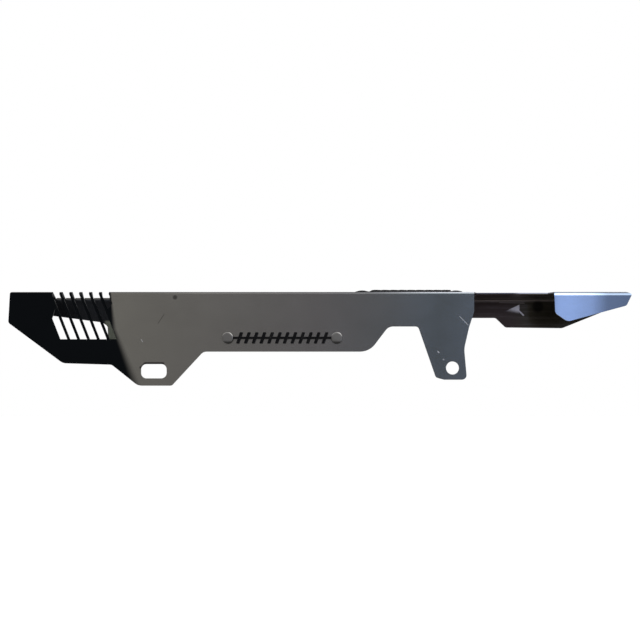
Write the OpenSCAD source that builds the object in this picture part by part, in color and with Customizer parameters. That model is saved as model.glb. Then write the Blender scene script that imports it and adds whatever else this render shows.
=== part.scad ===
// Motorcycle chain guard: one folded stainless sheet, a raised badge on its top
// and a flat badge on its outer side, each held by two rivets.
// X runs along the guard to its tapered rear end, Y from the outer side
// inwards, Z up. The origin is the centre of the rear mounting hole, on the
// sheet's outer face.

/* [Sheet] */
// Thickness of the sheet
sheet_t = 1.2; // [0.8:0.1:2]
// Width over both folds
guard_width = 33; // [30:0.5:44]
// Inside radius of the folds
fold_r = 0.8; // [0.5:0.1:1.5]
// Height of the fold line above the rear mounting hole
fold_height = 61.2; // [56:0.1:66]

/* [Outer side] */
// Distance between the oval slot and the rear mounting hole
hole_distance = 239.5; // [225:0.5:270]
// Diameter of the rear mounting hole
rear_hole_d = 10.5; // [8:0.1:12]
// Depth of the front edge below the fold
front_edge_depth = 25; // [18:0.5:30]
// Depth of the outer side under the vents
vent_panel_depth = 58.2; // [50:0.1:62]
// Depth of the outer side between its two tabs
mid_depth = 48.1; // [44:0.1:52]
// Depth of the outer side behind the curved step
rear_depth = 27.9; // [22:0.1:32]
// Distance of the curved step from the rear mounting hole
step_distance = 66.6; // [60:0.1:74]
// Length of the curved step
step_length = 15.4; // [12:0.1:20]
// Width of the front tab's edge below its oval slot
front_tab_margin = 5.85; // [4:0.05:9]
// Width of the rear tab's edge below its hole
rear_tab_margin = 4.15; // [3:0.05:8]
// Distance of the front tab's oval slot from the front end
oval_x = 116.6; // [105:0.1:125]
// Depth of the oval slot's centre below the fold
oval_depth = 63.8; // [61:0.1:66]
// Length of the oval slot
oval_length = 20.7; // [14:0.1:22]
// Height of the oval slot
oval_height = 11.5; // [8:0.1:13]
// Corner radius of the oval slot
oval_r = 4.3; // [2:0.1:5.5]
// Distance from the oval slot to the front foot of its tab
front_tab_front = 23.45; // [20:0.05:26]
// Distance from the oval slot to the rear foot of its tab
front_tab_rear = 29.25; // [26:0.05:34]
// Distance of the rear tab's front foot from its hole
rear_tab_front = 27.5; // [24:0.1:32]
// Distance of the rear tab's cut corner from its hole
rear_tab_corner = 13.3; // [11:0.1:16]
// Distance of the rear tab's rear edge from its hole
rear_tab_rear = 11.5; // [9:0.1:14]

/* [Rear notch and tip] */
// Distance of the notch from the rear mounting hole
notch_distance = 17.3; // [15:0.1:22]
// Length of the notch in the outer side
notch_length = 64; // [50:0.5:70]
// Length of the tip behind the notch
tip_length = 62.6; // [50:0.2:80]
// How far the notch cuts into the top
notch_reach = 5.5; // [3:0.1:8]
// Corner cut of the notch in the top
notch_corner = 3.2; // [0:0.1:4]
// Depth of the rear tip's lowest point
tip_depth = 24; // [20:0.1:27]
// Depth of the rear tip's end corner
tip_end_depth = 11.2; // [8:0.1:13]

/* [Inner side] */
// How far the inner side's front end stands back
inner_setback = 7; // [0:0.5:12]
// Depth of the inner side between the lobe and the tail
inner_depth = 16.5; // [12:0.1:20]
// Depth of the inner side's front end
inner_front_depth = 12.6; // [8:0.1:16]
// Depth of the inner side just before the lobe
inner_vent_depth = 20.3; // [16:0.1:22]
// Depth of the lobe
lobe_depth = 35.4; // [30:0.1:45]
// Distance of the lobe's front edge from the front end
lobe_start = 65; // [62:0.5:72]
// Length of the lobe
lobe_length = 97; // [70:1:110]
// Depth of the inner side's tail
tail_depth = 25.2; // [20:0.1:28]
// Distance of the tail's front step from the front of the notch
tail_setback = 25.5; // [20:0.1:32]

/* [Vents] */
// Number of vents over the top
vent_count = 6; // [3:1:6]
// Distance between vents
vent_pitch = 7.92; // [7.5:0.02:8.6]
// Width of a vent along the guard
vent_w = 5.8; // [4:0.1:6.6]
// Distance of the first top vent from the front end, at the outer fold
vent_start = 35.1; // [30:0.1:38]
// Rearward run of a vent for each millimetre towards the outer fold
top_slant = 0.305; // [0.1:0.005:0.4]
// Rearward run of a vent for each millimetre down the outer side
side_slant = 0.395; // [0.1:0.005:0.45]
// Depth of the vents in the outer side
vent_depth = 38.2; // [30:0.1:42]
// How far the inner side's edge stands above the fold at a vent
lip_rise = 0.5; // [0:0.1:1]
// How far that edge leans away from the guard
lip_lean = 0.4; // [0:0.1:1]
// Depth at which the front vent of the outer side starts
front_vent_depth = 21.5; // [16:0.1:24]
// Depth of the last vent's front edge in the outer side
last_vent_depth = 14.5; // [11:0.1:20]
// Depth of its rear edge
last_vent_rear_depth = 9.5; // [6:0.1:14]

/* [Cut-outs in the top] */
// Distance from the chevrons' centre to the first hexagon
chevron_distance = 59.7; // [40:0.1:62]
// Width of the chevron cut-out across the guard
chevron_w = 23; // [14:0.5:24]
// Thickness of a chevron
chevron_t = 6; // [4:0.1:7]
// Distance between the two chevrons
chevron_gap = 4; // [2:0.1:6]
// Length of a chevron's point, as a share of its half width
chevron_point = 0.6; // [0.4:0.05:0.8]
// Distance from the first hexagon to the top badge's front rivet
hex_distance = 77.8; // [75:0.1:84]
// Distance between hexagons
hex_pitch = 7.13; // [6.6:0.01:7.4]
// Added spacing of each next hexagon
hex_spread = 0.12; // [0:0.01:0.14]
// Spacing of the rows, as a share of a regular pattern's
hex_row_share = 0.96; // [0.94:0.01:1.1]
// Size of a full hexagon across its flats
hex_flats = 6; // [4:0.1:6.2]
// Column up to which the hexagons are full size
hex_full_column = 3; // [1:0.5:5]
// Size of the first smaller hexagon, as a share of a full one
hex_fade = 0.8; // [0.6:0.05:0.9]
// Loss of size for each further column
hex_fade_step = 0.05; // [0.02:0.005:0.06]

/* [Top badge] */
// Distance of the top badge's rear rivet from the notch
top_badge_setback = 11.9; // [8:0.1:14]
// Distance between the top badge's rivets
top_badge_span = 77; // [74:0.5:80]
// Thickness of the badge's black base
top_base_t = 3; // [2:0.1:4]
// Thickness of the lugs at its ends
top_lug_t = 2.6; // [2:0.1:2.8]
// Thickness of its raised bars
top_bar_t = 0.6; // [0.4:0.1:1.5]
// Number of raised bars
top_bar_count = 9; // [6:1:10]
// Length of a raised bar across the guard
top_bar_length = 10.6; // [8:0.1:12]
// Width of a raised bar
top_bar_w = 4; // [3:0.1:4.5]
// Distance from a rivet to the middle of the nearest raised bar
top_bar_end = 10.1; // [9.4:0.1:11]
// Slant of the raised bars, for each millimetre across the guard
top_bar_slant = 0.25; // [0:0.01:0.4]
// Margin of the base round its bars
top_margin = 2.2; // [1.8:0.1:2.4]
// Diameter of these lugs
top_lug_d = 11.6; // [10.5:0.1:12.5]

/* [Side badge] */
// Distance of the side badge's rear rivet from the curved step
side_badge_setback = 26.2; // [22:0.1:30]
// Distance between the side badge's rivets
side_badge_span = 87.3; // [82:0.1:90]
// Height of the side badge's middle line above the lower edge
side_badge_margin = 10.9; // [8:0.1:14]
// Thickness of the side badge
side_badge_t = 1.5; // [1:0.1:2.5]
// Number of slanted bars
side_bar_count = 12; // [8:1:12]
// Height of a slanted bar
side_bar_height = 9; // [7:0.1:9.6]
// Width of a slanted bar
side_bar_w = 2.6; // [2:0.1:3.4]
// Distance from a rivet to the middle of the nearest slanted bar
side_bar_end = 9.5; // [8.4:0.1:10.4]
// Slant of the bars, for each millimetre of height
side_bar_slant = 0.35; // [0:0.01:0.4]
// Height of the long bar that joins them
side_spine_h = 1.8; // [1.4:0.1:2.4]
// Diameter of the lugs at its ends
side_lug_d = 8; // [7:0.1:8.6]

/* [Rivets] */
// Diameter of a rivet's shank
rivet_d = 3.2; // [2.4:0.1:4]
// Clearance between a rivet and its hole, on the diameter
rivet_clearance = 0.1; // [0.05:0.01:0.3]
// Diameter of a top rivet's head
top_head_d = 8.4; // [7:0.1:9]
// Height of a top rivet's dome
top_head_h = 1.3; // [1:0.1:2]
// Thickness of a top rivet's flange
top_flange_t = 0.5; // [0.3:0.1:0.8]
// Diameter of a side rivet's head
side_head_d = 9; // [7:0.1:9.4]
// Height of a side rivet's head
side_head_h = 1.2; // [0.8:0.1:1.8]
// Diameter of a rivet's formed tail
tail_d = 4.8; // [4.2:0.1:5.4]
// Length of a rivet's formed tail
tail_h = 1.6; // [1:0.1:2.4]

/* [Hidden] */
$fn = 48;
arc_steps = 6;                       // straight pieces of one rounded corner
through = 2;                         // how far a cut runs past a face
fold_out = fold_r + sheet_t;         // outside radius of the folds
front_tab_depth = oval_depth + oval_height / 2 + front_tab_margin;
rear_tab_depth = fold_height + rear_hole_d / 2 + rear_tab_margin;
deepest = max(front_tab_depth, rear_tab_depth) + through;
rear_hole_x = oval_x + hole_distance;
notch_start = rear_hole_x + notch_distance;
notch_end = notch_start + notch_length;
tip_x = notch_end + tip_length;
step_x = rear_hole_x - step_distance; // where the curved step leaves the lower edge
lobe_end = lobe_start + lobe_length;
tail_start = notch_start + tail_setback;
top_mid = guard_width / 2;
hole_d = rivet_d + rivet_clearance;
top_badge_x = notch_start - top_badge_setback - top_badge_span;
top_bar_pitch = (top_badge_span - 2 * top_bar_end) / (top_bar_count - 1);
top_bar_mid = top_badge_x + top_badge_span / 2;
hex_x = top_badge_x - hex_distance;
chevron_x = hex_x - chevron_distance;
side_badge_x = step_x - side_badge_setback - side_badge_span;
side_badge_depth = mid_depth - side_badge_margin;
side_bar_pitch = (side_badge_span - 2 * side_bar_end) / (side_bar_count - 1);
side_bar_mid = side_badge_x + side_badge_span / 2;

// Corners of the sides, each as distance from the front end, depth and radius
outer_outline = [
    [4.4, -through, 0], [4.4, -0.01, 0], [1.4, 0, 1.8], [0, front_edge_depth, 3],
    [43.7, vent_panel_depth - 0.8, 8],
    [oval_x - oval_length / 2 - front_tab_front, vent_panel_depth + 0.4, 5],
    [oval_x - oval_length / 2 - 2.35, front_tab_depth, 9],
    [oval_x + oval_length / 2 + 3.95, front_tab_depth, 3],
    [oval_x + oval_length / 2 + front_tab_rear, mid_depth, 6],
    [step_x, mid_depth, 15], [step_x + step_length, rear_depth, 7.5],
    [rear_hole_x - rear_tab_front, rear_depth, 3],
    [rear_hole_x - rear_tab_corner, rear_tab_depth - 1.8, 3],
    [rear_hole_x - rear_tab_corner / 2, rear_tab_depth, 3],
    [rear_hole_x + rear_tab_rear, rear_tab_depth, 3.5],
    [rear_hole_x + rear_tab_rear - 2.2, fold_height - 15.4, 20],
    [notch_start - 4.1, rear_depth + 0.8, 12],
    [notch_start, 16, 4], [notch_start, -through, 0], [notch_end, -through, 0],
    [notch_end + 1, 17.1, 4], [notch_end + 11, tip_depth, 6],
    [tip_x - 4.4, tip_end_depth, 3], [tip_x, 2, 1.2], [tip_x - 4.4, 0, 2],
    [tip_x - 6, -0.01, 0], [tip_x - 6, -through, 0]
];
inner_outline = [
    [inner_setback, -through, 0], [inner_setback, inner_front_depth, 3],
    [lobe_start, inner_vent_depth, 1.5], [lobe_start + 4.6, inner_vent_depth + 3.2, 3],
    [lobe_start + 5.2, lobe_depth, 3],
    [lobe_end - 14, lobe_depth, 10], [lobe_end, inner_depth, 10],
    [tail_start, inner_depth, 3], [tail_start + 8.5, tail_depth - 0.6, 3],
    [notch_end + 18.1, tail_depth, 6], [tip_x - 4, 8.9, 3], [tip_x - 5, -through, 0]
];
top_outline = [
    [3.6, fold_out - 0.01, 0], [2.4, fold_out + 3, 1],
    [inner_setback, guard_width - fold_out + 0.01, 0],
    [tip_x - 5, guard_width - fold_out + 0.01, 0], [tip_x - 3.4, guard_width - fold_out - 3.4, 2.5],
    [tip_x - 0.4, fold_out + 4, 1.5], [tip_x - 4.4, fold_out - 0.01, 0]
];

// A polygon's points with its corners rounded; a corner is [x, y, radius]
function unit(v) = v / norm(v);
function flat(c) = [c.x, c.y];
function corner(a, b, c) =
    let (u = unit(flat(a) - flat(b)), v = unit(flat(c) - flat(b)),
         half = acos(u * v) / 2,
         centre = flat(b) + unit(u + v) * b.z / sin(half),
         first = flat(b) + u * b.z / tan(half) - centre,
         last = flat(b) + v * b.z / tan(half) - centre,
         start = atan2(first.y, first.x),
         sweep = atan2(cross(first, last), first * last))
    [for (i = [0:arc_steps])
        centre + b.z * [cos(start + sweep * i / arc_steps), sin(start + sweep * i / arc_steps)]];
function rounded(corners) =
    let (n = len(corners))
    [for (i = [0:n - 1])
        each corners[i].z > 0
            ? corner(corners[(i + n - 1) % n], corners[i], corners[(i + 1) % n])
            : [flat(corners[i])]];

// Moves from the front end and the fold line to the rear mounting hole
module in_place() {
    translate([-rear_hole_x, 0, fold_height]) children();
}
// Stands a drawing of distance and depth upright, from y = from to y = to
module upright(from, to) {
    translate([0, to, 0]) rotate([90, 0, 0]) linear_extrude(to - from) mirror([0, 1]) children();
}
// Lays a drawing of distance and width flat, from z = from to z = to
module level(from, to) {
    translate([0, 0, from]) linear_extrude(to - from) children();
}

// Section of the folded sheet, seen along the guard
module fold_section(inset, r, foot) {
    polygon(rounded([
        [inset, -foot, 0], [inset, -inset, r], [guard_width - inset, -inset, r],
        [guard_width - inset, -foot, 0]
    ]));
}
module folded_sheet() {
    rotate([90, 0, 90]) linear_extrude(tip_x) difference() {
        fold_section(0, fold_out, deepest);
        fold_section(sheet_t, fold_r, deepest + through);
    }
}

// What is cut away outside an outline
module waste(outline) {
    difference() {
        translate([-through, -through]) square([tip_x + 2 * through, deepest + 2 * through]);
        polygon(rounded(outline));
    }
}
module trim_outer() {
    upright(-through, fold_out) waste(outer_outline);
}
module trim_inner() {
    upright(guard_width - fold_out, guard_width + through) waste(inner_outline);
}
module trim_ends() {
    level(-deepest, through) difference() {
        translate([-through, fold_out]) square([tip_x + 2 * through, guard_width - 2 * fold_out]);
        polygon(rounded(top_outline));
    }
}
module trim_notch() {
    level(-fold_out - 1, through) polygon([
        [notch_start, -through], [notch_start, notch_reach - notch_corner],
        [notch_start + notch_corner, notch_reach], [notch_end - notch_corner, notch_reach],
        [notch_end, notch_reach - notch_corner], [notch_end, -through]
    ]);
}

// One vent: across the top, over the inner fold and down the inner side
module top_vent(x) {
    run = (guard_width - 2 * fold_out) * top_slant;
    level(-fold_out - 1, through) polygon([
        [x, fold_out], [x + vent_w, fold_out], [x + vent_w - run, guard_width - fold_out],
        [x - run, guard_width - fold_out]
    ]);
    translate([x - run, guard_width - fold_out - 0.01, -fold_out])
        cube([vent_w, fold_out + through, fold_out + through]);
}
// At the end of a vent the inner side's edge stays straight: it isn't bent over the fold
module vent_lip(x) {
    run = (guard_width - 2 * fold_out) * top_slant;
    translate([x - run, guard_width, 0]) rotate([90, 0, 90]) linear_extrude(vent_w) polygon([
        [-sheet_t, -fold_out - 1], [0, -fold_out - 1], [0, -fold_out], [lip_lean, lip_rise],
        [lip_lean - sheet_t, lip_rise], [-sheet_t, -fold_out]
    ]);
}
// The same vent over the outer fold and down the outer side
module fold_vent(x, depth) {
    translate([x, -through, -fold_out]) cube([vent_w, fold_out + through + 0.01, fold_out + through]);
    run = (depth - fold_out) * side_slant;
    upright(-through, fold_out + 1) polygon([
        [x, fold_out], [x + vent_w, fold_out], [x + vent_w + run, depth], [x + run, depth]
    ]);
}
// The front vent of the outer side, which ends below the fold
module front_vent(x) {
    function at(depth) = x + (depth - fold_out) * side_slant;
    end_rise = 8;
    upright(-through, fold_out + 1) polygon([
        [at(front_vent_depth), front_vent_depth],
        [at(front_vent_depth - end_rise) + vent_w, front_vent_depth - end_rise],
        [at(vent_depth) + vent_w, vent_depth], [at(vent_depth), vent_depth]
    ]);
}
// The last top vent, which ends in a slant soon after the outer fold
module last_vent(x) {
    translate([x, -through, -fold_out]) cube([vent_w, fold_out + through + 0.01, fold_out + through]);
    upright(-through, fold_out + 1) polygon([
        [x, fold_out], [x + vent_w, fold_out],
        [x + vent_w + (last_vent_rear_depth - fold_out) * side_slant, last_vent_rear_depth],
        [x + (last_vent_depth - fold_out) * side_slant, last_vent_depth]
    ]);
}
module vents() {
    front_vent(vent_start - vent_pitch);
    for (i = [0:vent_count - 1]) top_vent(vent_start + i * vent_pitch);
    for (i = [0:vent_count - 2]) fold_vent(vent_start + i * vent_pitch, vent_depth);
    last_vent(vent_start + (vent_count - 1) * vent_pitch);
}

module vent_lips() {
    for (i = [0:vent_count - 1]) vent_lip(vent_start + i * vent_pitch);
}

// Two plain chevrons that point to the rear
module chevron(x) {
    half = chevron_w / 2;
    point = half * chevron_point;
    polygon([
        [x, top_mid - half], [x + chevron_t, top_mid - half], [x + chevron_t + point, top_mid],
        [x + chevron_t, top_mid + half], [x, top_mid + half], [x + point, top_mid]
    ]);
}
module chevrons() {
    step = chevron_t + chevron_gap;
    width = step + chevron_t + chevron_w / 2 * chevron_point;
    level(-fold_out, through) for (i = [0, 1]) chevron(chevron_x - width / 2 + i * step);
}

// Rows of hexagons that shrink to the rear; a row is [row, first column, last column]
hex_rows = [[-2, 1, 5], [-1, 0.5, 6.5], [0, 0, 8], [1, 0.5, 5.5], [2, 1, 3]];
function hex_size(column) =
    hex_flats * (column <= hex_full_column ? 1 : hex_fade - hex_fade_step * (column - hex_full_column));
module hexagons() {
    row_pitch = hex_pitch * sin(60) * hex_row_share;
    level(-fold_out, through) for (row = hex_rows) for (column = [row[1]:row[2]])
        translate([hex_x + column * (hex_pitch + hex_spread * column), top_mid + row[0] * row_pitch])
            rotate(30) circle(d = hex_size(column) / cos(30), $fn = 6);
}

// Mounting openings in the two tabs
module oval_slot() {
    w = oval_length / 2;
    h = oval_height / 2;
    upright(-through, sheet_t + through) polygon(rounded([
        [oval_x - w, oval_depth - h, oval_r], [oval_x + w, oval_depth - h, oval_r],
        [oval_x + w, oval_depth + h, oval_r], [oval_x - w, oval_depth + h, oval_r]
    ]));
}
module rear_hole() {
    translate([rear_hole_x, -through, -fold_height]) rotate([-90, 0, 0])
        cylinder(d = rear_hole_d, h = sheet_t + 2 * through);
}

// Places of the rivets, with their shanks along Z and their heads up
module at_top(x) {
    translate([x, top_mid, 0]) children();
}
module at_side(x) {
    translate([x, 0, -side_badge_depth]) rotate([90, 0, 0]) children();
}
module rivet_hole() {
    translate([0, 0, -sheet_t - through]) cylinder(d = hole_d, h = sheet_t + 2 * through + top_base_t + 3);
}
module top_rivet_holes() {
    for (i = [0, 1]) at_top(top_badge_x + i * top_badge_span) rivet_hole();
}
module side_rivet_holes() {
    for (i = [0, 1]) at_side(side_badge_x + i * side_badge_span) rivet_hole();
}

module guard_shell() {
    color([0.42, 0.42, 0.42]) in_place() difference() {
        folded_sheet();
        trim_outer();
        trim_inner();
        trim_ends();
        trim_notch();
        vents();
        chevrons();
        hexagons();
        oval_slot();
        rear_hole();
        top_rivet_holes();
        side_rivet_holes();
    }
    color([0.42, 0.42, 0.42]) in_place() vent_lips();
}

// A slanted bar with rounded corners, centred on x = 0
module slanted_bar(w, length, slant, r) {
    shift = length * slant / 2;
    polygon(rounded([
        [-w / 2 + shift, -length / 2, r], [w / 2 + shift, -length / 2, r],
        [w / 2 - shift, length / 2, r], [-w / 2 - shift, length / 2, r]
    ]));
}
function bar_place(i, count, pitch) = (i - (count - 1) / 2) * pitch;

module top_badge_base() {
    tie_w = 6;
    color([0.03, 0.03, 0.03]) in_place() difference() {
        union() {
            level(0, top_base_t) for (i = [0:top_bar_count - 1])
                translate([top_bar_mid + bar_place(i, top_bar_count, top_bar_pitch), top_mid])
                    slanted_bar(top_bar_w + 2 * top_margin, top_bar_length + 2 * top_margin,
                                top_bar_slant, top_margin);
            level(0, top_lug_t) {
                for (i = [0, 1]) translate([top_badge_x + i * top_badge_span, top_mid]) circle(d = top_lug_d);
                translate([top_badge_x, top_mid - tie_w / 2]) square([top_badge_span, tie_w]);
            }
        }
        top_rivet_holes();
    }
}
module top_badge_bars() {
    color([0.8, 0.8, 0.82]) in_place() level(top_base_t, top_base_t + top_bar_t)
        for (i = [0:top_bar_count - 1])
            translate([top_bar_mid + bar_place(i, top_bar_count, top_bar_pitch), top_mid])
                slanted_bar(top_bar_w, top_bar_length, top_bar_slant, 1);
}
module side_badge() {
    color([0.03, 0.03, 0.03]) in_place() difference() {
        at_side(0) linear_extrude(side_badge_t) union() {
            for (i = [0:side_bar_count - 1])
                translate([side_bar_mid + bar_place(i, side_bar_count, side_bar_pitch), 0])
                    slanted_bar(side_bar_w, side_bar_height, -side_bar_slant, 0.5);
            for (i = [0, 1]) translate([side_badge_x + i * side_badge_span, 0]) circle(d = side_lug_d);
            translate([side_badge_x, -side_spine_h / 2]) square([side_badge_span, side_spine_h]);
        }
        side_rivet_holes();
    }
}

// A rivet whose head sits at height grip; its tail is formed under the sheet
module rivet(grip, profile) {
    rotate_extrude() polygon(concat(
        [[0, -sheet_t - tail_h], [tail_d / 2 - 0.5, -sheet_t - tail_h],
         [tail_d / 2, -sheet_t - tail_h + 0.5], [tail_d / 2, -sheet_t],
         [rivet_d / 2, -sheet_t], [rivet_d / 2, grip]],
        [for (p = profile) [p.x, p.y + grip]]
    ));
}
// Outline of a dome on a stepped flange, and of a low rounded head
flange_step = 0.7;
dome_r = top_head_d / 2 - flange_step;
dome_profile = concat(
    [[top_head_d / 2, 0], [top_head_d / 2, top_flange_t]],
    [for (i = [0:7]) [dome_r * cos(i * 11.25), top_flange_t + (top_head_h - top_flange_t) * sin(i * 11.25)]],
    [[0, top_head_h]]
);
low_profile = concat(
    [[side_head_d / 2, 0]],
    [for (i = [0:6]) [side_head_d / 2 - 0.9 * (1 - cos(i * 15)), side_head_h - 0.7 * (1 - sin(i * 15))]],
    [[0, side_head_h]]
);
module top_rivet(i) {
    color([0.8, 0.8, 0.82]) in_place() at_top(top_badge_x + i * top_badge_span)
        rivet(top_lug_t, dome_profile);
}
module side_rivet(i) {
    color([0.5, 0.5, 0.5]) in_place() at_side(side_badge_x + i * side_badge_span)
        rivet(side_badge_t, low_profile);
}

guard_shell();
top_badge_base();
top_badge_bars();
top_rivet(0);  // top_badge_front_rivet
top_rivet(1);  // top_badge_rear_rivet
side_badge();
side_rivet(0);  // side_badge_front_rivet
side_rivet(1);  // side_badge_rear_rivet
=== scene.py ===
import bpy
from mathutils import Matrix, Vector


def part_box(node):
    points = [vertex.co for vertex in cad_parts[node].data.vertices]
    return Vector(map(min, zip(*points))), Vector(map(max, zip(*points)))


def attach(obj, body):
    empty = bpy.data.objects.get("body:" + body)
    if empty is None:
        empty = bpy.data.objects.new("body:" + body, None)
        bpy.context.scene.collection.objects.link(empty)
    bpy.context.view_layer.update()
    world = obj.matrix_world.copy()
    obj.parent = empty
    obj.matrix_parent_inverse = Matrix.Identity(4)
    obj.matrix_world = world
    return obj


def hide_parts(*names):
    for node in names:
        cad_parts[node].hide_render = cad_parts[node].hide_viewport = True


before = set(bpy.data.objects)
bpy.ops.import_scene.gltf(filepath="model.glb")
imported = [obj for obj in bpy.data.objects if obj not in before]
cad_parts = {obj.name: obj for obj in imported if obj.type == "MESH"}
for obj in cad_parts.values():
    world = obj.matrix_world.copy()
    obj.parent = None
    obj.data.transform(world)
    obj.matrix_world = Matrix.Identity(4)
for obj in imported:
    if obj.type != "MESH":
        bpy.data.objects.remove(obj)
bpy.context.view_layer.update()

import math

import bpy
from bpy.props import (
    FloatProperty,
    FloatVectorProperty,
    IntProperty,
    PointerProperty,
)
from mathutils import Vector

bl_info = {
    "name": "Motorcycle chain guard",
    "version": (1, 0, 0),
    "blender": (4, 5, 0),
    "location": "3D View > Sidebar > Chain guard",
    "description": "Dresses a folded chain guard with worn steel, badges and rivets",
    "category": "Object",
}

MM = 0.001
SHELL_LOW, SHELL_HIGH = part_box("guard_shell")
FRONT_X = SHELL_LOW.x
FOLD_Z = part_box("top_badge_base")[0].z
LENGTH = 500.0  # millimetres along the guard, of which the steel's shades are shares
WIDTH = 33.0    # millimetres from the outer side's face to the inner side's


def colour(name, description, default):
    """A colour that a user may change."""
    return FloatVectorProperty(name=name, description=description, default=default, size=3,
                               subtype="COLOR", min=0.0, max=1.0)


def length(name, description, default):
    """A length that a user may change."""
    return FloatProperty(name=name, description=description, default=default, unit="LENGTH",
                         min=0.0, precision=5)


class GuardSheetSettings(bpy.types.PropertyGroup):
    """Sizes and colours of the folded sheet."""

    edge: length("Cut edge", "Width of the broken edge along every cut", 0.12 * MM)
    # The outer side's steel turns from warm and light at the front to cool and dark at the rear,
    # and bluish on the tip: painted reflections
    front: colour("Front steel", "Steel of the outer side near its front", (0.575, 0.55, 0.49))
    middle: colour("Middle steel", "Steel of the outer side at mid length", (0.425, 0.408, 0.415))
    rear: colour("Rear steel", "Steel of the outer side near its rear tab", (0.275, 0.31, 0.34))
    tip: colour("Tip steel", "Steel of the tapered tip", (0.59, 0.745, 1.0))
    # Painted dark reflection over the outer side's front end
    dark: colour("Dark end", "Dark film over the outer side's front end", (0.017, 0.020, 0.024))
    # Inside shades: chain grime, and painted shade inside the sheet
    inside: colour("Inside", "Chain grime inside the sheet", (0.059, 0.043, 0.040))
    inside_rear: colour("Inside rear", "Grime inside the rear end", (0.064, 0.056, 0.042))
    # Lighter shade for worn streaks, and for the painted highlight along the inner fold
    inside_wear_and_highlight: colour("Inside worn", "Streaks where the grime is thin", (0.32, 0.28, 0.27))
    inside_front: colour("Inside front", "Dark gloss inside the front end", (0.045, 0.048, 0.055))
    blot: colour("Blot", "Darkest blot inside, behind the tip", (0.008, 0.008, 0.009))
    inside_bare: colour("Inside bare", "Bare steel behind the last vent", (0.36, 0.39, 0.32))
    # The top's steel is painted darker than the side's, a painted shade against the brighter light
    # above; its bright shade beside the badge is a painted reflection
    top_front: colour("Top front", "Steel of the top near its front end", (0.195, 0.185, 0.167))
    top_middle: colour("Top middle", "Steel of the top at mid length", (0.145, 0.148, 0.16))
    top_bright: colour("Top bright", "Steel of the top beside the badge", (0.34, 0.355, 0.44))
    top_rear: colour("Top rear", "Steel of the top near its rear end", (0.16, 0.18, 0.235))
    roughness: FloatProperty(name="Roughness", description="Mean roughness of the steel",
                             default=0.22, min=0.0, max=1.0)


class BadgeSettings(bpy.types.PropertyGroup):
    """Sizes and colours of the two badges."""

    rounding: length("Rounding", "Rounding of the top badge's edges", 0.35 * MM)
    black: colour("Black", "Gloss black of the badges", (0.004, 0.004, 0.005))
    silver: colour("Silver", "Silver of the raised bars", (0.62, 0.62, 0.64))


class RivetSettings(bpy.types.PropertyGroup):
    """Sizes and colours of the rivets."""

    segments: IntProperty(name="Segments", description="Faces round a rivet", default=48, min=12)
    sheet: length("Sheet", "Thickness of the sheet between head and tail", 1.2 * MM)
    lug: length("Lug", "Thickness of the lugs under the top rivets", 2.6 * MM)
    flange: length("Flange", "Thickness of a top rivet's flange", 0.5 * MM)
    step: length("Step", "Width of a top rivet's flange outside its dome", 0.7 * MM)
    shank: length("Shank", "Radius of a rivet's shank", 1.6 * MM)
    tail: length("Tail", "Radius of a rivet's formed tail", 2.4 * MM)
    bright: colour("Bright", "Plated steel of the top rivets", (0.86, 0.87, 0.9))
    dull: colour("Dull", "Bare steel of the side rivets", (0.4, 0.39, 0.38))


class StageSettings(bpy.types.PropertyGroup):
    """Camera, floor and light."""

    distance: length("Distance", "Distance from the camera to the outer side", 540 * MM)
    drop: length("Drop", "Height of the fold above the camera", 99 * MM)
    span: length("Span", "Width that the picture shows at the outer side", 512.8 * MM)
    shift: FloatProperty(name="Shift", description="Upward shift of the picture", default=0.1486)
    floor_drop: length("Floor drop", "Height of the guard above the floor", 90 * MM)
    floor: colour("Floor", "Colour of the floor", (0.5, 0.5, 0.5))


class Socket:
    """An output of a node, with arithmetic that adds Math nodes."""

    def __init__(self, graph, link):
        self.graph = graph
        self.link = link

    def _math(self, operation, *values):
        return self.graph.node("ShaderNodeMath", dict(enumerate(values)), operation=operation)

    def __add__(self, other):
        return self._math("ADD", self, other)

    __radd__ = __add__

    def __sub__(self, other):
        return self._math("SUBTRACT", self, other)

    def __rsub__(self, other):
        return self._math("SUBTRACT", other, self)

    def __mul__(self, other):
        return self._math("MULTIPLY", self, other)

    __rmul__ = __mul__

    def __abs__(self):
        return self._math("ABSOLUTE", self)

    def lower(self, other):
        """The lower of the two values."""
        return self._math("MINIMUM", self, other)

    def upper(self, other):
        """The higher of the two values."""
        return self._math("MAXIMUM", self, other)

    def swing(self, amount):
        """A noise as a change of a value, up and down by about half the amount."""
        return (self - 0.5) * amount

    def above(self, start, end):
        """0 below start, 1 above end and smooth between; the other way round if end is less."""
        return self.graph.node("ShaderNodeMapRange",
                               {"Value": self, "From Min": start, "From Max": end},
                               interpolation_type="SMOOTHSTEP")


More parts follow.
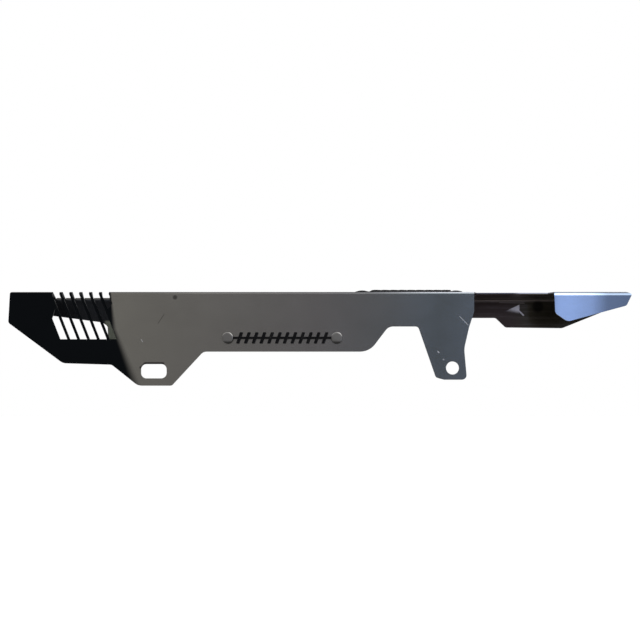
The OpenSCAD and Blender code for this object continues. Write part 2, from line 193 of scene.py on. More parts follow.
class Graph:
    """The nodes of a material, with its Principled shader, or of another tree."""

    def __init__(self, name="", tree=None):
        if tree is None:
            self.material = bpy.data.materials.new(name)
            self.material.use_nodes = True
            tree = self.material.node_tree
            self.shader = tree.nodes["Principled BSDF"]
        self.tree = tree

    def node(self, kind, values=None, out=0, stops=None, **settings):
        """Adds a node: its settings first, then the values or links of its sockets."""
        made = self.tree.nodes.new(kind)
        for key, value in settings.items():
            setattr(made, key, value)
        if stops:
            ramp = made.color_ramp
            for place, shade in stops[1:-1]:
                ramp.elements.new(place)
            for element, (place, shade) in zip(ramp.elements, stops):
                element.position = place
                element.color = (*shade, 1.0)
        for key, value in (values or {}).items():
            self.join(made.inputs[key], value)
        return Socket(self, made.outputs[out])

    def join(self, socket, value):
        """Links a socket to another one, or sets its colour or number."""
        if isinstance(value, Socket):
            self.tree.links.new(value.link, socket)
        elif socket.type == "RGBA":
            socket.default_value = (*value[:3], 1.0)
        else:
            socket.default_value = value

    def set(self, **values):
        """Sets or links the shader's sockets, named with underscores for spaces."""
        for key, value in values.items():
            self.join(self.shader.inputs[key.replace("_", " ")], value)

    def split(self, vector):
        """The three coordinates of a point or a direction."""
        parts = self.node("ShaderNodeSeparateXYZ", {0: vector}).link.node.outputs
        return [Socket(self, parts[axis]) for axis in "XYZ"]

    def point(self):
        """The point on the piece, in the frame that all pieces share."""
        return self.node("ShaderNodeTexCoord", out="Object")

    def place(self, point):
        """How far a point lies along from the front end, across from the outer side's face and
        below the fold, in millimetres."""
        x, y, z = self.split(point)
        return (x - FRONT_X) * (1 / MM), y * (1 / MM), (FOLD_Z - z) * (1 / MM)

    def noise(self, point, scale, detail=3.0, rough=0.5, distortion=0.0, stretch=None):
        """A noise, its scale for a metre, and stretched if a scale for each axis is given."""
        if stretch:
            point = self.node("ShaderNodeMapping", {"Vector": point, "Scale": stretch})
        return self.node("ShaderNodeTexNoise",
                         {"Vector": point, "Scale": scale, "Detail": detail, "Roughness": rough,
                          "Distortion": distortion})

    def mix(self, first, second, factor, blend="MIX"):
        """Mixes two colours."""
        return self.node("ShaderNodeMix", {0: factor, 6: first, 7: second}, out=2,
                         data_type="RGBA", blend_type=blend)

    def grey(self, value):
        """A colour of three equal values, to multiply another by."""
        return self.node("ShaderNodeCombineColor", {0: value, 1: value, 2: value})

    def bump(self, height, strength, distance):
        """A normal bent by a height, of which 1 is so many metres."""
        return self.node("ShaderNodeBump",
                         {"Height": height, "Strength": strength, "Distance": distance})


def mark(along, depth, start, end, width, strength=1.0):
    """A straight mark from start to end: strength on its middle line, fading to 0 at its width."""
    (x0, z0), (x1, z1) = start, end
    span = math.hypot(x1 - x0, z1 - z0)
    ux, uz = (x1 - x0) / span, (z1 - z0) / span
    run = (along - x0) * ux + (depth - z0) * uz
    off = abs((along - x0) * uz - (depth - z0) * ux)
    beyond = abs(run - span / 2) - span / 2
    return off.above(width, width * MARK_CORE) * beyond.above(width, 0.0) * strength


def marks(along, depth, places):
    """The strongest of several marks at each point."""
    drawn = [mark(along, depth, *place) for place in places]
    strongest = drawn[0]
    for one in drawn[1:]:
        strongest = strongest.upper(one)
    return strongest


def spot(along, depth, centre, radius):
    """1 inside a soft round spot."""
    dx, dz = along - centre[0], depth - centre[1]
    return (dx * dx + dz * dz).above(radius * radius, radius * radius * SPOT_CORE)


def scaled(shade, factor):
    """A darker or lighter form of a colour."""
    return tuple(part * factor for part in shade)


def shades(look, places):
    """The stops of a colour ramp, from shares of the length, names of colours and factors."""
    return [(share, scaled(getattr(look, name), factor)) for share, name, factor in places]


# The look of the sheet. Its places are millimetres along from the front end, across from the outer
# side's face and deep below the fold. A pair says where something is still 0 and where it is 1.

# Depth under each face to which its finish reaches
SIDE_SKIN = (0.9, 0.5)
TOP_SKIN = (0.82, 0.7)

# Steel along the outer side and along the top: share of the length, colour and its factor
# Painted reflections: the side is warm at the front, cool at the rear and bluish on the tip
SIDE_STEEL = (
    (0.16, "front", 1.0), (0.5, "middle", 1.0), (0.68, "rear", 1.0), (0.865, "rear", 1.0),
    (0.88, "tip", 1.0), (0.90, "tip", 1.0), (0.935, "tip", 0.85), (0.96, "tip", 0.45),
)
# Painted shade and reflection: the top is darker than the side, with a bluish painted reflection
# beside the badge
TOP_STEEL = (
    (0.0, "top_front", 1.0), (0.45, "top_middle", 1.0), (0.57, "top_middle", 1.0),
    (0.66, "top_bright", 1.0), (0.74, "top_bright", 1.0), (0.84, "top_rear", 1.0),
)

# Noises in the steel, on the top and inside
GRAIN = {"scale": 3.0, "detail": 4.0, "rough": 0.6, "stretch": (40, 900, 900)}
STAINS = {"scale": 28.0, "detail": 4.0, "rough": 0.55, "distortion": 0.6}
SMEARS = {"scale": 2.0, "distortion": 1.2, "stretch": (12, 60, 30)}
DUST_SPECKS = {"scale": 420.0, "detail": 4.0, "rough": 0.6}
SCRATCH_GAPS = {"scale": 300.0, "detail": 2.0}
INSIDE_STREAKS = {"scale": 2.0, "stretch": (10, 200, 260)}
GRAIN_HEIGHT = 0.0036  # millimetres

# Marks: start and end, each as a distance along and a depth (on the top a distance across), then
# the distance from the middle line at which the mark has faded, and the strength
BRIGHT_MARKS = (
    ((361.8, 20.0), (368.2, 26.6), 0.42, 1.0),
    ((344.2, 48.0), (345.0, 48.8), 0.75, 1.3),
    ((348.6, 54.2), (349.0, 54.6), 0.7, 1.2),
    ((350.6, 60.2), (350.9, 61.0), 0.45, 1.0),
    ((106.6, 38.6), (107.6, 40.2), 0.5, 1.2),
)
SLOT_RIM_MARKS = (
    ((109.6, 57.6), (124.0, 57.6), 1.5, 1.0),
    ((105.9, 61.0), (109.4, 57.7), 1.2, 1.0),
)
DULL_MARKS = SLOT_RIM_MARKS + (
    ((120.0, 25.5), (124.8, 18.2), 0.5, 0.45),
)
# Painted highlights along the inner fold, under the top
INSIDE_HIGHLIGHT_MARKS = (
    ((402.0, 3.4), (423.0, 4.0), 0.7, 0.5),
    ((375.0, 3.0), (436.0, 3.0), 0.8, 0.25),
)
TOP_MARKS = (
    ((11.2, 9.2), (12.6, 8.0), 1.2, 0.5),
    ((11.6, 8.8), (18.4, 3.8), 0.8, 0.5),
    ((21.1, 18.1), (24.7, 15.5), 0.6, 0.2),
    ((87.5, 9.0), (92.0, 9.2), 0.6, 0.3),
    ((92.0, 9.2), (95.0, 6.6), 0.5, 0.22),
    ((118.0, 9.2), (134.0, 8.8), 0.6, 0.25),
    ((127.0, 8.4), (132.0, 8.6), 0.9, 0.45),
    ((86.0, 27.5), (93.0, 27.0), 0.5, 0.18),
    ((121.0, 27.5), (142.0, 27.0), 0.4, 0.14),
    ((171.0, 6.8), (179.0, 6.6), 0.7, 0.4),
    ((420.5, 29.0), (422.0, 26.0), 1.2, 0.3),
    ((422.0, 22.0), (428.0, 19.0), 2.6, 0.3),
    ((441.0, 14.5), (468.0, 14.9), 0.8, 0.4),
    ((458.0, 14.9), (492.0, 14.2), 1.1, 0.6),
    ((463.0, 14.6), (474.0, 14.4), 1.7, 0.9),
    ((489.0, 31.0), (497.0, 27.0), 1.4, 0.3),
)
MARK_CORE = 0.25  # share of that distance over which a mark has its full strength

# Round spots: centre and radius. The dust's oval is a round spot on a squeezed length.
DUST_SQUEEZE = 0.45
DUST = ((113.0, 11.0), 10.5)
SMUDGE = ((133.6, 4.6), 2.3)
BLOT = ((434.5, 7.2), 6.0)
SPOT_CORE = 0.15  # share of a spot's area that is full

# Painted dark reflection on the front end of the outer side. Its edge leans back, and more so below
# the knee.
# It softens downwards, and twice as fast behind the edge as ahead of it.
DARK_REFLECTION_EDGE = 81.9
DARK_REFLECTION_LEAN = 0.09
DARK_REFLECTION_KNEE = 30
DARK_REFLECTION_LEAN_BELOW = 0.28
DARK_REFLECTION_SOFT = 0.6
DARK_REFLECTION_SOFTER_BEHIND = 0.08
DARK_REFLECTION_SOFTER_AHEAD = 0.04

# Painted shade on the outer side along the fold, dimming its highlight. It fades to the rear, and
# its front is darkest.
FOLD_STRIP = (2.0, 1.4)
FOLD_STRIP_END = (370, 290)
FOLD_STRIP_FRONT = (160, 110)

# Grime and painted shade inside: where the front and rear shades lie, the painted highlight line
# under the top, and where wear and the painted highlights begin
GRIME_AND_SHADE_FRONT = (92, 86)
GRIME_AND_SHADE_REAR = (405, 430)
HIGHLIGHT_LINE_UPPER = (1.2, 1.8)
HIGHLIGHT_LINE_LOWER = (3.4, 2.6)
WEAR_AND_HIGHLIGHT_START = (100, 300)

# Bare steel inside, behind the last vent
BARE_FRONT = (66, 69)
BARE_UPPER = (18, 20)
BARE_OUTER = (15, 18)

# Glint inside the notch: under a slanting edge through the point, which loses so much depth for
# each millimetre along, ahead of an upright rear edge and over a soft lower one
GLINT_POINT = (413.1, 8.0)
GLINT_SLANT = 0.47
GLINT_UPPER = (-0.4, 0.5)
GLINT_LOWER = (13.5, 9.5)
GLINT_LOWER_AT = 62.8
GLINT_LOWER_SLANT = 0.15
GLINT_GROWTH = (399.0, 418.5)
GLINT_REAR = (419.3, 418.4)
GLINT_TAIL = ((418.6, 10.6), (422.4, 14.3), 0.9, 0.8)

# Painted sheen on the top beside the outer and the inner fold: a painted reflection
SHEEN_OUTER = (5.0, 0.8)
SHEEN_OUTER_START = (275, 350)
SHEEN_INNER = (31.0, 32.4)
SHEEN_INNER_START = (290, 350)
SHEEN_END = (434, 426)

# Roundings that the light shows: over the tip's fold, and on the top beside the outer fold
TIP_ROUND_START = (400, 420)
TIP_ROUND_INNER = (20, 10)
TIP_ROUND_DEPTH = 2.9
TIP_ROUND_SLOPE = 0.36
TOP_ROUND_START = (300, 345)
TOP_ROUND_WIDTH = 4.5
TOP_ROUND_CURVE = 0.03

# Shades of marks
GLINT_SHADE = (0.75, 0.7, 0.7)
BRIGHT_SHADE = (0.95, 0.95, 1.0)
DULL_SHADE = (0.03, 0.026, 0.024)


def painted_dark_reflection(along, depth):
    """The painted dark reflection over the outer side's front end."""
    edge = depth * DARK_REFLECTION_LEAN + (depth - DARK_REFLECTION_KNEE).upper(0) * DARK_REFLECTION_LEAN_BELOW + DARK_REFLECTION_EDGE
    behind = depth * DARK_REFLECTION_SOFTER_BEHIND + DARK_REFLECTION_SOFT
    ahead = depth * -DARK_REFLECTION_SOFTER_AHEAD - DARK_REFLECTION_SOFT
    return (along - edge).above(behind, ahead)


def glint(along, depth):
    """The bright wedge on the inner side that shows through the notch."""
    at, top = GLINT_POINT
    wedge = ((along - at) * GLINT_SLANT + depth - top).above(*GLINT_UPPER)
    wedge = wedge * along.above(*GLINT_REAR)
    lower = (depth - GLINT_LOWER_SLANT * along + GLINT_LOWER_AT).above(*GLINT_LOWER)
    wedge = wedge * (along.above(*GLINT_GROWTH) * lower)
    return wedge.upper(mark(along, depth, *GLINT_TAIL))


def grime(g, look, point, along, across, depth):
    """Chain grime and painted shade inside: worn streaks, painted highlights under the top, a
    glint, bare steel.
    """
    frontal = along.above(*GRIME_AND_SHADE_FRONT)
    shade = g.mix(look.inside, look.inside_rear, along.above(*GRIME_AND_SHADE_REAR))
    shade = g.mix(shade, look.inside_front, frontal)
    streaks = g.noise(point, **INSIDE_STREAKS).above(0.45, 0.7)
    # Painted highlight line along the inner fold; it and the painted highlight marks take the worn
    # streaks' lighter shade
    line = depth.above(*HIGHLIGHT_LINE_UPPER) * depth.above(*HIGHLIGHT_LINE_LOWER)
    worn = (streaks * 0.12).upper(line * 0.6).upper(marks(along, depth, INSIDE_HIGHLIGHT_MARKS))
    shade = g.mix(shade, look.inside_wear_and_highlight, worn * along.above(*WEAR_AND_HIGHLIGHT_START))
    shade = g.mix(shade, GLINT_SHADE, glint(along, depth))
    shade = g.mix(shade, look.blot, spot(along, depth, *BLOT) * 0.7)
    bare = along.above(*BARE_FRONT) * frontal * depth.above(*BARE_UPPER)
    return g.mix(shade, look.inside_bare, bare * across.above(*BARE_OUTER))


def top_scuffs_and_sheen(g, point, along, across):
    """Scratches and dust on the top, and its sheen beside both folds."""
    specks = g.noise(point, **DUST_SPECKS).above(0.5, 0.62)
    dust = spot(along * DUST_SQUEEZE, across, *DUST) * specks * 0.7
    outer = across.above(*SHEEN_OUTER) * along.above(*SHEEN_OUTER_START) * along.above(*SHEEN_END)
    inner = across.above(*SHEEN_INNER) * along.above(*SHEEN_INNER_START)
    sheen = (outer * 0.8).upper(inner * 0.6)
    gaps = g.noise(point, **SCRATCH_GAPS).above(0.3, 0.62)
    return (marks(along, across, TOP_MARKS) * gaps).upper(dust).upper(sheen)


def rounded_folds(along, across, depth):
    """Height, in millimetres, with which the outer fold catches the light as a wider one would."""
    tip = along.above(*TIP_ROUND_START) * across.above(*TIP_ROUND_INNER)
    tip = tip * depth.lower(TIP_ROUND_DEPTH) * TIP_ROUND_SLOPE
    near = (TOP_ROUND_WIDTH - across).upper(0)
    top = along.above(*TOP_ROUND_START) * along.above(*SHEEN_END) * near * near * TOP_ROUND_CURVE
    return tip - top


def worn_steel(look):
    """Stainless sheet with a fine grain, stains, scratches, painted reflections, a painted dark
    reflection on the front end, and an inside of chain grime and painted shade.
    """
    g = Graph("worn_steel")
    point = g.point()
    along, across, depth = g.place(point)
    outer = across.above(*SIDE_SKIN)
    top = depth.above(*TOP_SKIN)
    inner = across.above(*(WIDTH - skin for skin in SIDE_SKIN))
    shown = outer.upper(top).upper(inner)
    share = along * (1 / LENGTH)
    side_shade = g.node("ShaderNodeValToRGB", {0: share}, stops=shades(look, SIDE_STEEL))
    top_shade = g.node("ShaderNodeValToRGB", {0: share}, stops=shades(look, TOP_STEEL))
    steel = g.mix(side_shade, top_shade, top)
    # Painted dark reflection over the outer side's front end
    steel = g.mix(steel, look.dark, painted_dark_reflection(along, depth) * outer)
    # The inner faces get chain grime and painted shade
    steel = g.mix(grime(g, look, point, along, across, depth), steel, shown)

    grain = g.noise(point, **GRAIN)
    stains = g.noise(point, **STAINS)
    tone = grain.swing(0.08) + stains.swing(0.12) + g.noise(point, **SMEARS).swing(0.10) + 1.0
    # Painted shade over the outer fold's highlight, darkest at the front
    strip = along.above(*FOLD_STRIP_END) * 0.5 + along.above(*FOLD_STRIP_FRONT) * 0.2
    tone = tone * (1 - outer * depth.above(*FOLD_STRIP) * strip)
    steel = g.mix(steel, g.grey(tone), 1.0, "MULTIPLY")

    # Scratches and dust on the top, with its painted sheen beside the folds
    scuffs_and_sheen = top_scuffs_and_sheen(g, point, along, across) * top
    bright = (marks(along, depth, BRIGHT_MARKS) * outer).upper(scuffs_and_sheen)
    dull = (spot(along, depth, *SMUDGE) * 0.7).upper(marks(along, depth, DULL_MARKS)) * outer
    steel = g.mix(steel, BRIGHT_SHADE, bright * 0.7)
    steel = g.mix(steel, DULL_SHADE, dull * 0.9)

    rough = stains.swing(0.08) + grain.swing(0.10) + look.roughness
    rough = rough + bright * 0.2 + (1 - shown) * 0.1
    height = rounded_folds(along, across, depth) + grain * GRAIN_HEIGHT
    g.set(Base_Color=steel, Metallic=shown * 0.1 + 0.9, Roughness=rough,
          Normal=g.bump(height, 1.0, MM))
    return g.material


# Noises of the badges and rivets, and the shades of what lies on them
PLASTIC_DUST = {"scale": 900.0, "rough": 0.6}
PLASTIC_WEAR = {"scale": 120.0, "detail": 4.0, "rough": 0.6}
PLASTIC_WAVES = {"scale": 300.0, "detail": 2.0}
DUST_SHADE = (0.09, 0.085, 0.08)
SILVER_GRIME = {"scale": 160.0, "detail": 4.0, "rough": 0.6, "distortion": 0.4}
SILVER_PITS = {"scale": 700.0}
GRIME_SHADE = (0.2, 0.19, 0.18)
RIVET_PITS = {"scale": 800.0, "rough": 0.55}
RIVET_TARNISH = {"scale": 220.0, "rough": 0.6}
RIVET_GRIME = (0.02, 0.02, 0.022)
RIVET_SHADOW = (0.05, 0.05, 0.05)

# Depth at which the side rivets' lower rims are shaded, heights above the fold from which a rivet
# is clean (just over a top rivet's flange, or below the whole guard), and where its grime is full
SIDE_RIVET_RIM = (39.2, 41.2)
TOP_RIVET_CLEAN = 3.35
SIDE_RIVET_CLEAN = -500.0
GRIME_FADE = 0.3  # lower than where it is clean


def gloss_black(look):
    """Gloss black plastic with fine dust and rub marks."""
    g = Graph("gloss_black")
    point = g.point()
    dust = g.noise(point, **PLASTIC_DUST).above(0.58, 0.72)
    wear = g.noise(point, **PLASTIC_WEAR).above(0.5, 0.75)
    shade = g.mix(look.black, DUST_SHADE, dust * 0.15 + wear * 0.06)
    g.set(Base_Color=shade, Roughness=wear * 0.25 + 0.16 + dust * 0.2, Specular_IOR_Level=0.15,
          Normal=g.bump(g.noise(point, **PLASTIC_WAVES), 0.08, 0.1 * MM))
    return g.material


def silver_face(look):
    """Silvered bar tops, a little worn and stained."""
    g = Graph("silver_face")
    point = g.point()
    stain = g.noise(point, **SILVER_GRIME).above(0.48, 0.72)
    shade = g.mix(look.silver, GRIME_SHADE, stain * 0.45)
    g.set(Base_Color=shade, Metallic=1.0, Roughness=stain * 0.3 + 0.24,
          Normal=g.bump(g.noise(point, **SILVER_PITS), 0.15, 0.05 * MM))
    return g.material


def plated(name, shade, roughness, tarnished, clean_from):
    """Rivet steel with small pits and tarnish, and with grime up to a height above the fold. The
    lower rims of the side rivets are shaded."""
    g = Graph(name)
    point = g.point()
    depth = g.place(point)[2]
    tarnish = g.noise(point, **RIVET_TARNISH).above(0.5, 0.78)
    shade = g.mix(shade, scaled(shade, 0.45), tarnish * tarnished)
    shade = g.mix(shade, RIVET_GRIME, depth.above(-clean_from, GRIME_FADE - clean_from))
    shade = g.mix(shade, RIVET_SHADOW, depth.above(*SIDE_RIVET_RIM) * 0.8)
    g.set(Base_Color=shade, Metallic=1.0, Roughness=tarnish * 0.25 + roughness,
          Normal=g.bump(g.noise(point, **RIVET_PITS), 0.12, 0.05 * MM))
    return g.material


SAME_POINT = 2e-6               # metres within which two corners are one
FLAT = math.radians(0.4)        # turn up to which two faces are one flat face
SHARP_EDGE = math.radians(30)   # turn from which an edge is rounded
TURNED_EDGE = math.radians(35)  # turn from which an edge of a rivet is sharp


def settle():
    """Nothing selected and object mode, as an operator needs."""
    if bpy.context.object and bpy.context.object.mode != "OBJECT":
        bpy.ops.object.mode_set(mode="OBJECT")
    bpy.ops.object.select_all(action="DESELECT")


def choose(piece):
    """The piece alone selected and active."""
    settle()
    bpy.context.view_layer.objects.active = piece
    piece.select_set(True)


def copied_solid(node, name):
    """A piece with a CAD node's shape: its triangles merged, and its flat faces made whole."""
    piece = bpy.data.objects.new(name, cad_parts[node].data.copy())
    bpy.context.scene.collection.objects.link(piece)
    piece.data.materials.clear()
    choose(piece)
    bpy.ops.object.mode_set(mode="EDIT")
    bpy.ops.mesh.select_all(action="SELECT")
    bpy.ops.mesh.remove_doubles(threshold=SAME_POINT)
    bpy.ops.mesh.dissolve_limited(angle_limit=FLAT)
    bpy.ops.object.mode_set(mode="OBJECT")
    return piece


def bevelled(piece, width, segments):
    """Rounds the sharp edges, and keeps the flat faces flat where they meet a rounding."""
    choose(piece)
    bevel = piece.modifiers.new("edge", "BEVEL")
    bevel.width = width
    bevel.segments = segments
    bevel.limit_method = "ANGLE"
    bevel.angle_limit = SHARP_EDGE
    bpy.ops.object.modifier_apply(modifier="edge")
    bpy.ops.object.shade_smooth_by_angle(angle=SHARP_EDGE)
    flatten = piece.modifiers.new("flatten", "WEIGHTED_NORMAL")
    flatten.keep_sharp = True
    bpy.ops.object.modifier_apply(modifier="flatten")


def in_service(piece, node, material):
    """Gives the piece its finish and puts it in a CAD node's place."""
    piece.data.materials.append(material)
    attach(piece, "root")
    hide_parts(node)


def turned(name, centre, axis, profile, segments):
    """A closed turned piece, from a profile of radii and heights round an axis."""
    bpy.ops.mesh.primitive_circle_add(vertices=segments, radius=profile[0][0], fill_type="TRIFAN")
    piece = bpy.context.object
    piece.name = name
    bpy.ops.object.mode_set(mode="EDIT")
    bpy.ops.mesh.select_all(action="SELECT")
    bpy.ops.transform.translate(value=(0, 0, profile[0][1]))
    bpy.ops.mesh.flip_normals()
    bpy.ops.mesh.select_mode(type="EDGE")
    bpy.ops.mesh.region_to_loop()
    for (r0, z0), (r1, z1) in zip(profile, profile[1:]):
        bpy.ops.mesh.extrude_region_move(TRANSFORM_OT_translate={"value": (0, 0, z1 - z0)})
        bpy.ops.transform.resize(value=(r1 / r0, r1 / r0, 1.0), center_override=(0, 0, z1))
    bpy.ops.mesh.edge_face_add()
    bpy.ops.mesh.select_all(action="SELECT")
    bpy.ops.mesh.remove_doubles(threshold=SAME_POINT)
    bpy.ops.mesh.normals_make_consistent(inside=False)
    bpy.ops.object.mode_set(mode="OBJECT")
    piece.rotation_mode = "QUATERNION"
    piece.rotation_quaternion = Vector((0, 0, 1)).rotation_difference(Vector(axis))
    piece.location = centre
    bpy.ops.object.transform_apply(location=True, rotation=True, scale=True)
    return piece


# Floor, and a lamp above and behind the guard, in metres from the guard's middle
FLOOR_SIZE = 40.0
FLOOR_CELLS = 8
FLOOR_GLOW = 0.72
LAMP_OFFSET = (0.1, 0.5, 1.3)
LAMP_AIM = (0.0, 0.0, 0.05)
LAMP_SIZE = (1.4, 0.7)
LAMP_POWER = 4.0  # watts

# Room that the guard mirrors, by the x, y and z of a direction: walls that are lighter behind the
# guard, a ceiling that is lightest to the rear on the camera's side, and a bluish window there
ROOM_LIGHT = 0.2
ROOM_BEHIND = (-0.2, 0.6)
ROOM_BEHIND_LIGHT = 0.15
CEILING = (0.3, 0.6)
CEILING_LIGHT = 0.5
CEILING_REAR = (-0.02, 0.32)
CEILING_NEAR = (-0.03, -0.2)
CEILING_GLOW = 1.6
WINDOW_SIDES = ((0.285, 0.325), (0.425, 0.35))
WINDOW_HEIGHTS = ((-0.12, 0.0), (0.4, 0.25))
WINDOW_NEAR = (-0.4, -0.6)
WINDOW_LIGHT = 1.2
WINDOW_SHADE = (0.46, 0.6, 1.0)
WHITE = (1.0, 1.0, 1.0)


class CHAIN_GUARD_OT_stage(bpy.types.Operator):
    """Sets the camera, the floor and the light"""

    bl_idname = "chain_guard.stage"
    bl_label = "Set the stage"

    def execute(self, context):
        look = context.scene.chain_guard_stage
        middle_x = (SHELL_LOW.x + SHELL_HIGH.x) / 2
        camera = bpy.data.objects.new("camera", bpy.data.cameras.new("camera"))
        context.scene.collection.objects.link(camera)
        camera.location = (middle_x, -look.distance, FOLD_Z - look.drop)
        camera.rotation_euler = (math.pi / 2, 0, 0)
        camera.data.lens = camera.data.sensor_width * look.distance / look.span
        camera.data.shift_y = look.shift
        camera.data.clip_start = 10 * MM
        context.scene.camera = camera

        settle()
        bpy.ops.mesh.primitive_grid_add(x_subdivisions=FLOOR_CELLS, y_subdivisions=FLOOR_CELLS,
                                        size=FLOOR_SIZE,
                                        location=(middle_x, 0, SHELL_LOW.z - look.floor_drop))
        floor = context.object
        floor.name = "floor"
        g = Graph("floor")
        g.set(Base_Color=tuple(look.floor), Roughness=0.8, Emission_Color=WHITE,
              Emission_Strength=FLOOR_GLOW)
        floor.data.materials.append(g.material)
        floor.visible_glossy = False

        self.room(context.scene)
        self.lamp(context.scene, Vector((middle_x, 0, 0)))
        context.scene.view_settings.view_transform = "Standard"
        return {"FINISHED"}

    def lamp(self, scene, middle):
        """A soft rectangular light above the guard."""
        data = bpy.data.lights.new("top_light", "AREA")
        data.shape = "RECTANGLE"
        data.size, data.size_y = LAMP_SIZE
        data.energy = LAMP_POWER
        lamp = bpy.data.objects.new("top_light", data)
        scene.collection.objects.link(lamp)
        lamp.location = middle + Vector(LAMP_OFFSET)
        aim = middle + Vector(LAMP_AIM) - lamp.location
        lamp.rotation_euler = aim.to_track_quat("-Z", "Y").to_euler()
        lamp.visible_camera = False
        lamp.visible_glossy = False

    def room(self, scene):
        """White behind the guard, and in its reflections a dim room with a ceiling and a window."""
        world = bpy.data.worlds.new("studio")
        world.use_nodes = True
        scene.world = world
        g = Graph(tree=world.node_tree)
        x, y, z = g.split(g.node("ShaderNodeTexCoord", out="Generated"))
        walls = y.above(*ROOM_BEHIND) * ROOM_BEHIND_LIGHT + ROOM_LIGHT
        glow = x.above(*CEILING_REAR) * y.above(*CEILING_NEAR) * CEILING_GLOW + CEILING_LIGHT
        ceiling = z.above(*CEILING) * glow
        window = y.above(*WINDOW_NEAR)
        for start, end in WINDOW_SIDES:
            window = window * x.above(start, end)
        for start, end in WINDOW_HEIGHTS:
            window = window * z.above(start, end)
        light = walls + ceiling + window * WINDOW_LIGHT
        dim = g.node("ShaderNodeBackground",
                     {"Color": g.mix(WHITE, WINDOW_SHADE, window), "Strength": light})
        white = g.node("ShaderNodeBackground", {"Color": WHITE, "Strength": 1.0})
        seen = g.node("ShaderNodeLightPath", out="Is Camera Ray")
        both = g.node("ShaderNodeMixShader", {0: seen, 1: dim, 2: white})
        g.join(g.tree.nodes["World Output"].inputs[0], both)


class CHAIN_GUARD_OT_sheet(bpy.types.Operator):
    """Makes the folded sheet with its cut edges"""

    bl_idname = "chain_guard.sheet"
    bl_label = "Fold the sheet"

    def execute(self, context):
        look = context.scene.chain_guard_sheet
        sheet = copied_solid("guard_shell", "folded_sheet")
        bevelled(sheet, look.edge, segments=1)
        in_service(sheet, "guard_shell", worn_steel(look))
        return {"FINISHED"}


class CHAIN_GUARD_OT_top_badge(bpy.types.Operator):
    """Makes the top badge's black base and its raised bars"""

    bl_idname = "chain_guard.top_badge"
    bl_label = "Fit the top badge"

    def execute(self, context):
        look = context.scene.chain_guard_badges
        base = copied_solid("top_badge_base", "top_badge_backing")
        bevelled(base, look.rounding, segments=3)
        in_service(base, "top_badge_base", gloss_black(look))
        bars = copied_solid("top_badge_bars", "top_badge_raised_bars")
        bevelled(bars, look.rounding, segments=3)
        in_service(bars, "top_badge_bars", silver_face(look))
        return {"FINISHED"}


SIDE_BADGE_ROUNDING = 0.6  # share of the top badge's rounding


class CHAIN_GUARD_OT_side_badge(bpy.types.Operator):
    """Makes the flat badge on the outer side"""

    bl_idname = "chain_guard.side_badge"
    bl_label = "Fit the side badge"

    def execute(self, context):
        look = context.scene.chain_guard_badges
        badge = copied_solid("side_badge", "side_badge_bars")
        bevelled(badge, look.rounding * SIDE_BADGE_ROUNDING, segments=2)
        in_service(badge, "side_badge", gloss_black(look))
        return {"FINISHED"}


# Profiles of the rivets: steps round a quarter turn, and the smaller sizes
TAIL_STEPS = 3
DOME_STEPS = 14
LOW_HEAD_STEPS = 6
TAIL_MIDDLE = 0.6 * MM   # radius at which the profile starts on a tail's flat end
TAIL_ROUNDING = 0.4 * MM
FLANGE_RIM = 0.3         # broken edge of a flange, as a share of its thickness
LOW_HEAD_RIM = 0.5 * MM  # upright rim under the rounding of a low head
LOW_HEAD_ROUNDING = 0.9 * MM
LOW_HEAD_FLAT = 0.4      # radius at which a low head's profile ends, as a share of the head's


def quarter(steps):
    """The angles of a quarter turn in even steps, with both ends."""
    return [math.radians(90 * i / steps) for i in range(steps + 1)]


def tail_and_shank(look, tail_end, grip):
    """The profile of a formed tail and its shank, up to the underside of the head."""
    inner = look.tail - TAIL_ROUNDING
    profile = [(TAIL_MIDDLE, tail_end)]
    profile += [(inner + TAIL_ROUNDING * math.sin(turn),
                 tail_end + TAIL_ROUNDING * (1 - math.cos(turn))) for turn in quarter(TAIL_STEPS)]
    return profile + [(look.tail, -look.sheet), (look.shank, -look.sheet), (look.shank, grip)]


def domed_head(look, head, grip, height):
    """The profile of a blind rivet's head: a flange with a broken edge, and a dome on it."""
    flange_top = grip + look.flange
    rim = look.flange * FLANGE_RIM
    radius, rise = head - look.step, height - flange_top
    profile = [(head, grip), (head, flange_top - rim), (head - rim, flange_top)]
    return profile + [(radius * math.cos(turn), flange_top + rise * math.sin(turn))
                      for turn in quarter(DOME_STEPS)[:-1]]


def low_head(head, grip, height):
    """The profile of a low head: an upright rim, a rounding and a flat middle."""
    rim_top = grip + LOW_HEAD_RIM
    rounded = [(head - LOW_HEAD_ROUNDING * (1 - math.cos(turn)),
                rim_top + (height - rim_top) * math.sin(turn))
               for turn in quarter(LOW_HEAD_STEPS)]
    return [(head, grip)] + rounded + [(head * LOW_HEAD_FLAT, height)]


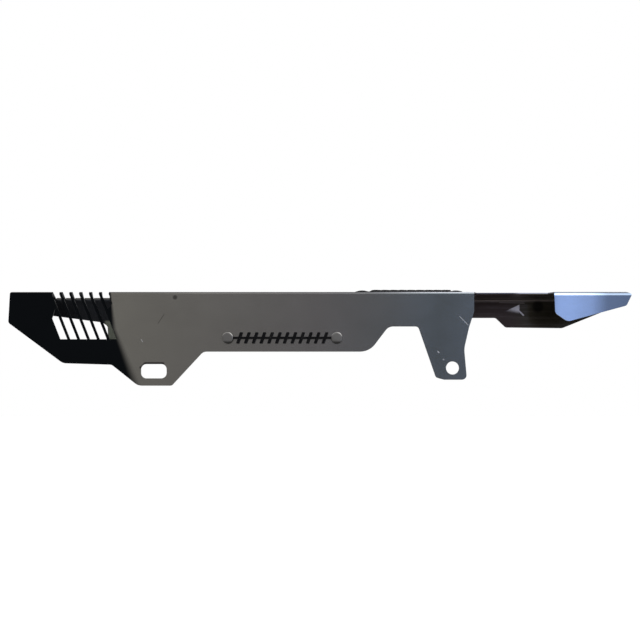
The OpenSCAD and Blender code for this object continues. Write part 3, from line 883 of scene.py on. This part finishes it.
class CHAIN_GUARD_OT_rivets(bpy.types.Operator):
    """Makes the four rivets with their heads and formed tails"""

    bl_idname = "chain_guard.rivets"
    bl_label = "Set the rivets"

    def execute(self, context):
        look = context.scene.chain_guard_rivets
        bright = plated("bright_plate", look.bright, roughness=0.12, tarnished=0.35,
                        clean_from=TOP_RIVET_CLEAN)
        dull = plated("dull_plate", look.dull, roughness=0.3, tarnished=0.3,
                      clean_from=SIDE_RIVET_CLEAN)
        side_grip = -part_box("side_badge")[0].y
        for end in ("front", "rear"):
            node = f"top_badge_{end}_rivet"
            low, high, centre = self.place(node)
            profile = tail_and_shank(look, low.z - FOLD_Z, look.lug)
            profile += domed_head(look, (high.x - low.x) / 2, look.lug, high.z - FOLD_Z)
            centre.z = FOLD_Z
            self.rivet(look, node, centre, (0, 0, 1), profile, "bright_rivet", bright)

            node = f"side_badge_{end}_rivet"
            low, high, centre = self.place(node)
            profile = tail_and_shank(look, -high.y, side_grip)
            profile += low_head((high.x - low.x) / 2, side_grip, -low.y)
            centre.y = 0
            self.rivet(look, node, centre, (0, -1, 0), profile, "plain_rivet", dull)
        return {"FINISHED"}

    def place(self, node):
        """The lowest and highest corner of a CAD node's box, and its centre."""
        low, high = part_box(node)
        return low, high, (low + high) / 2

    def rivet(self, look, node, centre, axis, profile, slot, material):
        """One rivet, turned round its own axis."""
        piece = turned(node + "_turned", centre, axis, profile, look.segments)
        choose(piece)
        bpy.ops.object.shade_smooth_by_angle(angle=TURNED_EDGE)
        in_service(piece, node, material)


class CHAIN_GUARD_PT_panel(bpy.types.Panel):
    """Lists the steps that dress the guard"""

    bl_idname = "CHAIN_GUARD_PT_panel"
    bl_label = "Chain guard"
    bl_space_type = "VIEW_3D"
    bl_region_type = "UI"
    bl_category = "Chain guard"

    def draw(self, context):
        for operator in OPERATORS:
            self.layout.operator(operator.bl_idname)
        for name, group in SETTINGS.items():
            self.layout.label(text=group.__doc__)
            for field in group.__annotations__:
                self.layout.prop(getattr(context.scene, name), field)


OPERATORS = (
    CHAIN_GUARD_OT_stage,
    CHAIN_GUARD_OT_sheet,
    CHAIN_GUARD_OT_top_badge,
    CHAIN_GUARD_OT_side_badge,
    CHAIN_GUARD_OT_rivets,
)
SETTINGS = {
    "chain_guard_sheet": GuardSheetSettings,
    "chain_guard_badges": BadgeSettings,
    "chain_guard_rivets": RivetSettings,
    "chain_guard_stage": StageSettings,
}


def register():
    for group in SETTINGS.values():
        bpy.utils.register_class(group)
    for operator in OPERATORS:
        bpy.utils.register_class(operator)
    bpy.utils.register_class(CHAIN_GUARD_PT_panel)
    for name, group in SETTINGS.items():
        setattr(bpy.types.Scene, name, PointerProperty(type=group))


def unregister():
    for name in SETTINGS:
        delattr(bpy.types.Scene, name)
    bpy.utils.unregister_class(CHAIN_GUARD_PT_panel)
    for operator in reversed(OPERATORS):
        bpy.utils.unregister_class(operator)
    for group in reversed(list(SETTINGS.values())):
        bpy.utils.unregister_class(group)


def main():
    register()
    bpy.ops.chain_guard.stage()
    bpy.ops.chain_guard.sheet()
    bpy.ops.chain_guard.top_badge()
    bpy.ops.chain_guard.side_badge()
    bpy.ops.chain_guard.rivets()


if __name__ == "__main__":
    main()
